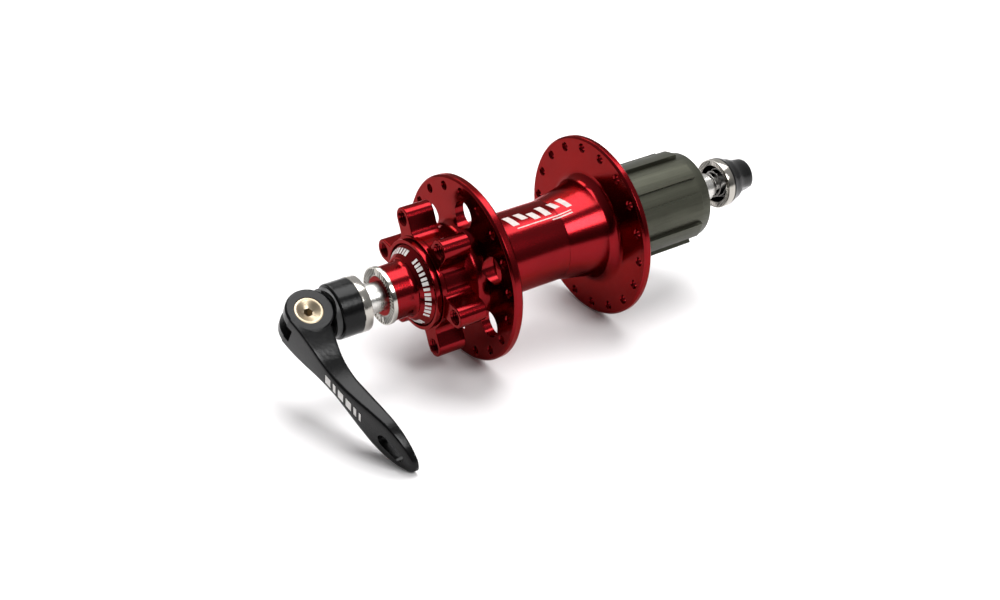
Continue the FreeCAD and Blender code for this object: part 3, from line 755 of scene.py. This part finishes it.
def conical_spring(side):
    """A round wire along a cone's helix: its radius grows evenly with the turns, and its
    height eases in and out so that the end turns lie flat."""
    turns = 4.6
    narrow, wide = 3.6, 6.1
    low = 73.0 + WIRE_R + 0.02
    length = 7.73
    t = np.linspace(0.0, 1.0, 361)
    radius = narrow + (wide - narrow) * t
    ease = 0.07
    height = low + length * (t - ease * np.sin(TURN * t))
    angle = TURN * turns * t
    centre = np.stack([radius * np.sin(angle), side * height, radius * np.cos(angle)], -1)
    along = np.gradient(centre, axis=0)
    along /= np.linalg.norm(along, axis=1)[:, None]
    out = np.stack([np.sin(angle), 0 * angle, np.cos(angle)], -1)
    out -= np.sum(out * along, axis=1)[:, None] * along
    out /= np.linalg.norm(out, axis=1)[:, None]
    other = np.cross(along, out)
    round_wire = np.arange(12) * TURN / 12
    width = np.full(len(t), WIRE_R)
    width[0] = width[-1] = 0.0
    ring = (out[:, None, :] * np.cos(round_wire)[None, :, None]
            + other[:, None, :] * np.sin(round_wire)[None, :, None])
    points = centre[:, None, :] + ring * width[:, None, None]
    points[1] = centre[0] + ring[0] * WIRE_R
    points[-2] = centre[-1] + ring[-1] * WIRE_R
    faces = ring_faces(len(t), 12)
    return points.reshape(-1, 3), faces[:-12]


def head_surface():
    """The lever's head: a cam edge whose distance from the pin falls evenly from the side
    that faces the hub, carried along the pin, with rounded rims and flat ends."""
    angle = np.linspace(-np.pi, np.pi, 145)[:-1]
    radius = CAM_R - CAM_THROW * np.abs(angle) / np.pi
    edge = 0.8
    sweep = np.radians(np.linspace(0, 90, 6))
    levels = [(0.0, -HEAD_HALF)]
    levels += [(-edge * (1 - np.sin(a)), -HEAD_HALF + edge * (1 - np.cos(a))) for a in sweep]
    levels += [(-edge * (1 - np.cos(a)), HEAD_HALF - edge * (1 - np.sin(a))) for a in sweep]
    levels += [(0.0, HEAD_HALF)]
    rings = []
    for k, (inset, z) in enumerate(levels):
        r = np.zeros_like(radius) if k in (0, len(levels) - 1) else radius + inset
        rings.append(np.stack([r * np.sin(angle), -r * np.cos(angle), 0 * r + z], -1))
    faces = ring_faces(len(rings), len(angle))
    return np.concatenate(rings), faces[:-len(angle)]


PLAN = [(0.0, HEAD_HALF), (6.0, 6.5), (12.0, 5.5), (18.0, 4.1), (25.0, 3.6), (32.0, 4.7),
        (39.0, 6.2), (45.0, 7.0), (51.0, 6.3), (56.0, 4.2), (59.0, 1.9), (59.9, 0.0)]
OUTER_EDGE = [(2.0, 7.35), (8.0, 6.05), (33.7, 0.1), (59.9, -7.8)]
INNER_EDGE = [(2.0, -4.4), (7.0, -4.4), (17.8, -3.7), (33.2, -5.8), (59.9, -9.9)]


def outer_height(u):
    """The blade's outer edge, as the cubic through its four points."""
    x, y = np.array(OUTER_EDGE).T
    return np.polyval(np.polyfit(x, y, 3), u)


def blade_surface():
    """The lever's blade: sections down the lever, each a rounded oblong between the outer
    and inner edges, as wide as the plan, closing to a point at the tip."""
    share = np.linspace(0, 1, 90)
    u = 1.0 + 58.9 * np.sin(share * np.pi / 2)
    width = np.where(u > 56.0, 4.2 * np.sqrt(np.clip((59.9 - u) / 3.9, 0, 1)),
                     through(PLAN, u))
    outer = outer_height(u)
    inner = through(INNER_EDGE, u)
    middle = (outer + inner) / 2
    tip = np.sqrt(np.clip((60.4 - u) / 2.5, 0, 1))
    half = (outer - inner) / 2 * np.where(u > 57.9, tip, 1.0)
    around = np.arange(96) * TURN / 96
    power = 2.0 / np.interp(u, [8.0, 26.0], [26.0, 7.0])[:, None]
    cos_a = np.sign(np.cos(around)) * np.abs(np.cos(around)) ** power
    sin_a = np.sign(np.sin(around)) * np.abs(np.sin(around)) ** power
    w = width[:, None] * cos_a
    crown = CROWN * (1 - cos_a ** 2) * (sin_a > 0)
    v = middle[:, None] + half[:, None] * sin_a + crown
    grid = np.stack([u[:, None] + 0 * w, v, w], -1)
    start = grid[:1].mean(axis=1, keepdims=True) + 0 * grid[:1]
    grid = np.concatenate([start, grid])
    faces = ring_faces(len(grid), 96)
    return grid.reshape(-1, 3), faces[:-96]


def box(low, high):
    """A closed oblong block between two corners, as the cutter of the fork's slot."""
    corners = np.array([[x, y, z] for x in (0, 1) for y in (0, 1) for z in (0, 1)], float)
    points = np.asarray(low) + corners * (np.asarray(high) - np.asarray(low))
    faces = np.array([[0, 1, 3, 2], [4, 6, 7, 5], [0, 4, 5, 1], [2, 3, 7, 6], [0, 2, 6, 4],
                      [1, 5, 7, 3]])
    return points, faces


def pin_turned(profile, around=96):
    """A profile of (radius, place along the pin) carried round the pin."""
    points, faces = lathe(profile, around)
    x, y, z = points.T
    return np.stack([x, z, y], -1), faces


def window_cutter():
    """The cutter of the paddle's window: an oblong with round ends, along the axle."""
    half, start, end = 2.5, 47.5, 53.0
    low, high = -14.0, -2.0
    angle = np.arange(64) * TURN / 64
    middle = np.where(np.cos(angle) > 0, end, start)
    oblong = np.stack([middle + half * np.cos(angle), 0 * angle, half * np.sin(angle)], -1)
    pole = np.zeros_like(oblong) + [50.0, 0.0, 0.0]
    below, above = [0.0, low, 0.0], [0.0, high, 0.0]
    rings = [pole + below, oblong + below, oblong + above, pole + above]
    return np.concatenate(rings), ring_faces(4, 64)[:-64]


def placed(surface):
    """A surface in the lever's own axes, moved to the part's frame."""
    points, faces = surface
    return lever_place(points), faces


def lever():
    """The head joined to the blade, then cut by the fork's slot, the pin's bore and the
    window."""
    shape = shape_object("lever", placed(head_surface()))
    combine(shape, shape_object("blade", placed(blade_surface())), "UNION")
    slot = box((-10.4, -10.0, -SLOT_HALF), (3.6, 10.0, SLOT_HALF))
    bore = PIN_R + 0.05
    recess = PIN_HEAD_R + 0.05
    pin_hole = pin_turned([
        (0, -HEAD_HALF - 1), (recess, -HEAD_HALF - 1), (recess, -HEAD_HALF + 1.3),
        (bore, -HEAD_HALF + 1.3), (bore, HEAD_HALF + 1), (0, HEAD_HALF + 1)])
    combine(shape, shape_object("slot", placed(slot)), "DIFFERENCE")
    combine(shape, shape_object("pin_hole", placed(pin_hole)), "DIFFERENCE")
    combine(shape, shape_object("window", placed(window_cutter())), "DIFFERENCE")
    piece(shape, "lever", "black_alloy", ["cam_lever"], sharp=38.0)


def lever_patch(u, length, low, high, lean):
    """A leaning bar on the blade's outer face, low and high being places across it."""
    share_u = np.linspace(0, 1, 6)[:, None]
    share_w = np.linspace(0, 1, 6)[None, :]
    across = low + (high - low) * share_w + 0 * share_u
    down = u + length * share_u + lean * (share_w - 0.5)
    width = through(PLAN, down)
    crown = CROWN * (1 - (across / width) ** 2)
    height = outer_height(down) + crown + 0.03
    grid = np.stack([down, height, across], -1)
    points, faces = patch(grid)
    return lever_place(points), faces


def lever_print():
    """Plain bars of three lengths down the blade."""
    bars = [(21.0, 2.4), (24.6, 1.2), (27.0, 2.4), (30.6, 2.4), (34.2, 1.2), (36.6, 0.8)]
    patches = [lever_patch(u, length, -1.6, 1.6, 1.0) for u, length in bars]
    printed("lever_print", patches, "lever", "white_print")


def hexagon(corner_r):
    """The radius of a hexagon at an angle, from the radius of its corners."""
    def radius(angle):
        off = angle % (TURN / 6) - TURN / 12
        return corner_r * np.cos(np.pi / 6) / np.cos(off)
    return radius


def pin():
    """The lever's barrel: a head with a hollow cone and a hex socket, turned about the
    pin's own axis."""
    face = -HEAD_HALF + 0.1
    hexed = hexagon(1.6)
    rows = [
        (0.0, face + 5.0), (hexed, face + 5.0), (hexed, face + 1.25), (1.75, face + 1.15),
        (2.6, face + 0.72), (3.6, face + 0.18), (3.9, face + 0.05), (4.1, face),
        (4.5, face), (4.68, face + 0.07),
        (PIN_HEAD_R, face + 0.25), (PIN_HEAD_R, face + 1.1), (PIN_R, face + 1.1),
        (PIN_R, HEAD_HALF - 0.4), (PIN_R - 0.2, HEAD_HALF - 0.2), (0.0, HEAD_HALF - 0.2)]
    points, faces = stations(rows, 96)
    x, y, z = points.T
    surface = (lever_place(np.stack([x, z, y], -1)), faces[:-96])
    piece(shape_object("pin", surface), "skewer", "nickel_steel", ["lever_pin"])


def nut_profile():
    """The nut: a cone with two flats at its small end and a hollow at its large one."""
    flat = 5.6
    flats_from = -84.0
    lean = np.radians(45.0)

    def limited(radius):
        def edge(angle):
            reach = np.abs(np.cos(angle - lean)) + 1e-9
            return np.minimum(radius, flat / reach)
        return edge

    skirt = [(9.2, -79.3), (9.2, -79.75), (9.05, -80.0), (8.3, -82.2), (7.75, flats_from)]
    tip = [(7.7, flats_from - 0.08), (7.0, -86.4), (6.45, -88.8), (6.2, -90.0),
           (5.9, -90.7), (5.2, -91.0)]
    rows = [(2.5, -81.5), (7.0, -81.5), (7.0, -76.92), (7.98, -76.92), (7.98, -79.3)]
    rows += skirt + [(limited(r), y) for r, y in tip]
    rows += [(2.7, -91.0), (2.5, -90.8), (2.5, -88.0)]
    return stations(rows, 360)


def skewer_parts():
    """The rod and everything that it carries."""
    piece(shape_object("skewer", threaded_rod()), "skewer", "zinc_steel", ["skewer_rod"])
    pin()
    lever()
    lever_print()
    cup = rounded([
        (2.6, 81.6), (7.0, 81.6), (7.0, 75.3), (8.18, 75.3), (8.18, 77.72), (9.4, 77.72),
        (9.4, 84.7)] + arc((8.7, 84.7), 0.7, 20, 90, 4)
        + [(7.6, 85.4), (7.6, 83.6), (2.6, 83.6)])
    piece(shape_object("cup", lathe(cup)), "clamp", "black_alloy", ["clamp_cup"])
    toothed_clamp("cup_ring", "clamp", 9.5, 8.2, 74.66, 3.04, 1, "clamp_ring")
    toothed_clamp("nut_rim", "nut", 9.2, 8.0, -76.3, 2.98, -1, "nut_ring")
    piece(shape_object("nut", nut_profile()), "nut", "black_alloy", ["nut_body"])
    for side, body, node in ((1, "skewer_carrier", "lever_side_spring"),
                             (-1, "nut_carrier", "nut_side_spring")):
        name = "spring_left" if side > 0 else "spring_right"
        piece(shape_object(name, conical_spring(side)), body, "spring_steel", [node])


def toothed_clamp(name, body, outer, holder, face, depth, side, node):
    """The ring that bites on the frame: a polished band, a toothed lip that leans over its
    holder, and an open back."""
    teeth = 60
    step = face + side * 0.6
    teeth_at = serration(face + side * 0.02, -0.3, side, teeth)
    rows = [
        (7.0, step), (7.0, face + side * 0.35), (7.25, teeth_at), (8.7, teeth_at),
        (outer - 0.35, face + side * 0.02), (outer - 0.1, face + side * 0.1),
        (outer, face + side * 0.35), (outer, face + side * (depth - 0.15)),
        (outer - 0.15, face + side * depth), (holder, face + side * depth), (holder, step)]
    piece(shape_object(name, stations(rows, teeth * 8)), body, "bright_steel", [node],
          sharp=24.0)


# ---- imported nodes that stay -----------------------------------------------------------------
def finish_packed_nodes():
    """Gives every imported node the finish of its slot."""
    for part in frame["record"]["subparts"]:
        node = frame["nodes"][part["node"]]
        node.data.materials.clear()
        node.data.materials.append(FINISHES[part["material_slot"]])


# ---- floor, lights and camera ---------------------------------------------------------------
def floor():
    """A plain pale sheet under the hub."""
    size = 3.0
    z = FLOOR * MM
    mesh = bpy.data.meshes.new("floor")
    mesh.from_pydata([(-size, -size, z), (size, -size, z), (size, size, z), (-size, size, z)],
                     [], [(0, 1, 2, 3)])
    thing = bpy.data.objects.new("floor", mesh)
    bpy.context.scene.collection.objects.link(thing)
    material = bpy.data.materials.new("pale paper")
    material.use_nodes = True
    tree = material.node_tree
    shader = tree.nodes["Principled BSDF"]
    hands = grouped(tree, "handling", Smudge=6.0, Speck=500.0)
    share = ranged(tree, hands.outputs["Smear"], 0.0, 1.0)
    feed(tree, shader, Base_Color=blended(tree, share, (0.90, 0.885, 0.89), (0.87, 0.86, 0.865)),
         Roughness=0.85, Specular_IOR_Level=0.2)
    mesh.materials.append(material)


def direction(azimuth, elevation):
    """The unit vector towards a bearing and a height, in degrees."""
    azimuth, elevation = np.radians(azimuth), np.radians(elevation)
    return Vector((np.cos(elevation) * np.cos(azimuth), np.cos(elevation) * np.sin(azimuth),
                   np.sin(elevation)))


def soft_light(name, azimuth, elevation, distance, width, height, power, colour=(1, 1, 1)):
    """A soft box that looks at the hub from a bearing and a height, in degrees."""
    data = bpy.data.lights.new(name, "AREA")
    data.shape = "RECTANGLE"
    data.size = width
    data.size_y = height
    data.energy = power
    data.color = colour
    thing = bpy.data.objects.new(name, data)
    bpy.context.scene.collection.objects.link(thing)
    away = direction(azimuth, elevation)
    thing.location = away * distance
    thing.rotation_euler = (-away).to_track_quat("-Z", "Y").to_euler()


def lights():
    """A window-like box on the disc's side, a big dim one overhead, a third towards the
    front, and a white room whose light fades evenly to a dark one on the far side."""
    soft_light("window", -165, 43, 1.1, 0.34, 0.42, 6.5)
    soft_light("overhead", -60, 74, 1.4, 1.1, 0.9, 20.0)
    soft_light("side", -8, 42, 1.5, 0.6, 0.6, 8.0)
    world = bpy.data.worlds.new("room")
    bpy.context.scene.world = world
    world.use_nodes = True
    tree = world.node_tree
    back = tree.nodes["Background"]
    place = add(tree, "ShaderNodeTexCoord")
    facing = add(tree, "ShaderNodeVectorMath", operation="DOT_PRODUCT")
    behind = direction(-36.0, 22.0)
    feed(tree, facing, i0=place.outputs["Generated"], i1=tuple(behind))
    light = ranged(tree, facing.outputs["Value"], 0.03, 0.62, -0.75, 0.75)
    feed(tree, back, Color=(1.0, 1.0, 1.0, 1.0), Strength=light)


def camera():
    """The view from beside the disc end, with the axle falling away to the right."""
    data = bpy.data.cameras.new("camera")
    data.lens = 56.03
    data.sensor_width = 36.0
    data.shift_y = -0.001
    data.clip_start = 0.01
    thing = bpy.data.objects.new("camera", data)
    bpy.context.scene.collection.objects.link(thing)
    ahead = Vector((0.70773, -0.48769, -0.51116)).normalized()
    right = Vector((-0.56741, -0.82343, 0.0)).normalized()
    up = right.cross(ahead)
    turn = Matrix((right, up, -ahead)).transposed()
    thing.matrix_world = Matrix.Translation((-0.38125, 0.28214, 0.25812)) @ turn.to_4x4()
    bpy.context.scene.camera = thing


camera()
floor()
lights()
finish_packed_nodes()
shell()
barrel_print()
axle_parts()
freehub()
skewer_parts()

bpy.context.scene.view_settings.view_transform = "Standard"
